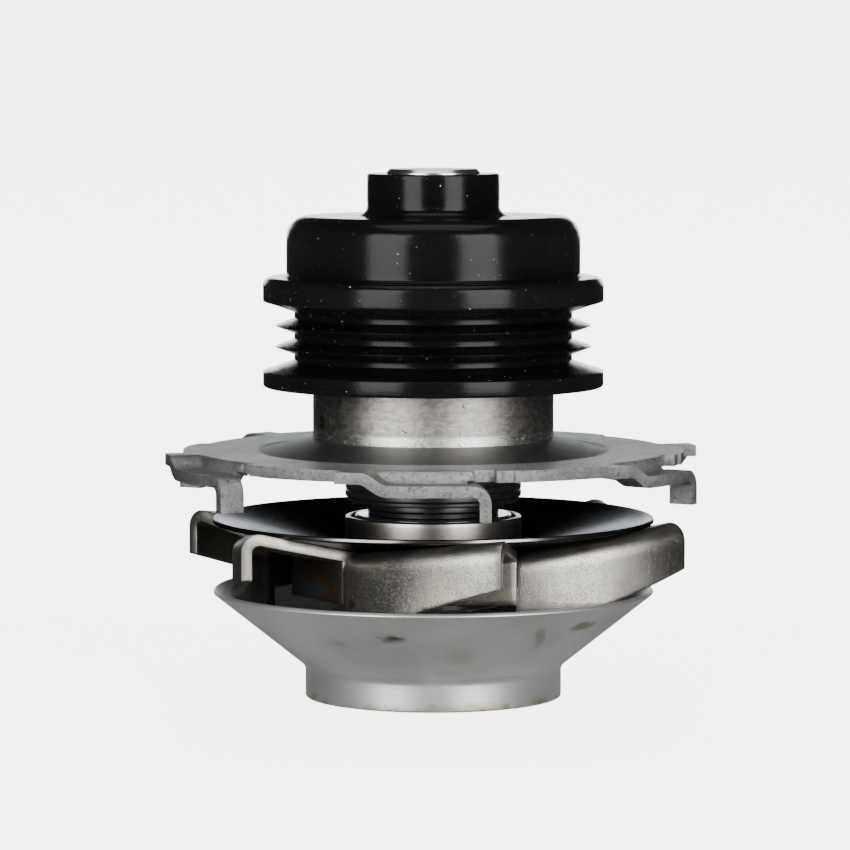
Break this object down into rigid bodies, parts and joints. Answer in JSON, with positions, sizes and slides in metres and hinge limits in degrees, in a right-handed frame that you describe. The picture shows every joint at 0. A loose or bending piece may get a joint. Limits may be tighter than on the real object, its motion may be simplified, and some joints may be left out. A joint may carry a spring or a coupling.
{
  "type": "water pump",
  "caption": "Cartridge engine water pump: multi-rib belt pulley, bearing sleeve on a twist-lock plate, face seal and stamped shrouded impeller.",
  "frame": {"origin": "centre of the impeller's eye ring at its foot, on the shaft's axis", "axes": "+Z along the shaft from the impeller's eye to the pulley, -Y through the middle of one lug"},
  "size_m": [0.09, 0.0912, 0.0893],
  "materials": {
    "pulley_black": "gloss black coating",
    "sleeve_steel": "mottled, scratched raw steel",
    "plate_steel": "grainy raw stamped steel",
    "bearing_steel": "ground bearing steel",
    "shaft_steel": "ground and polished steel",
    "seal_rubber": "moulded black rubber",
    "seal_black": "satin black coating",
    "spring_steel": "bright spring wire",
    "carbon": "lapped carbon",
    "ring_steel": "drawn stainless steel",
    "ring_ceramic": "lapped dark ceramic",
    "back_shroud_steel": "smooth drawn steel",
    "vane_steel": "speckled raw steel, stained",
    "front_shroud_steel": "satin drawn steel",
    "cage_plastic": "moulded nylon"
  },
  "bodies": {
    "housing": {"bearing_housing": "sleeve_steel", "lock_plate": "plate_steel", "bearing_outer_ring": "bearing_steel", "bearing_seal_upper": "seal_rubber", "bearing_seal_lower": "seal_rubber", "seal_cup": "seal_black", "seal_bellows": "seal_rubber", "seal_spring": "spring_steel", "seal_face_carrier": "seal_black", "carbon_face": "carbon"},
    "rotor": {"bearing_shaft": "shaft_steel", "drive_pulley": "pulley_black", "slinger": "seal_rubber", "mating_ring_cup": "ring_steel", "mating_ring_boot": "seal_rubber", "mating_ring": "ring_ceramic", "impeller_hub": "shaft_steel", "impeller_back_shroud": "back_shroud_steel", "vane_spider": "vane_steel", "impeller_front_shroud": "front_shroud_steel"},
    "ball_set": {"ball_row_upper": "bearing_steel", "ball_row_lower": "bearing_steel", "ball_cage_upper": "cage_plastic", "ball_cage_lower": "cage_plastic"}
  },
  "joints": [
    {"name": "shaft_spin", "type": "hinge", "parent": "housing", "child": "rotor", "pos_m": [0, 0, 0.06225], "axis": [0, 0, 1], "continuous": true},
    {"name": "ball_set_spin", "type": "hinge", "parent": "housing", "child": "ball_set", "pos_m": [0, 0, 0.06225], "axis": [0, 0, 1], "continuous": true}
  ],
  "couplings": [
    {"joint": "ball_set_spin", "follows": "shaft_spin", "ratio": 0.356}
  ]
}
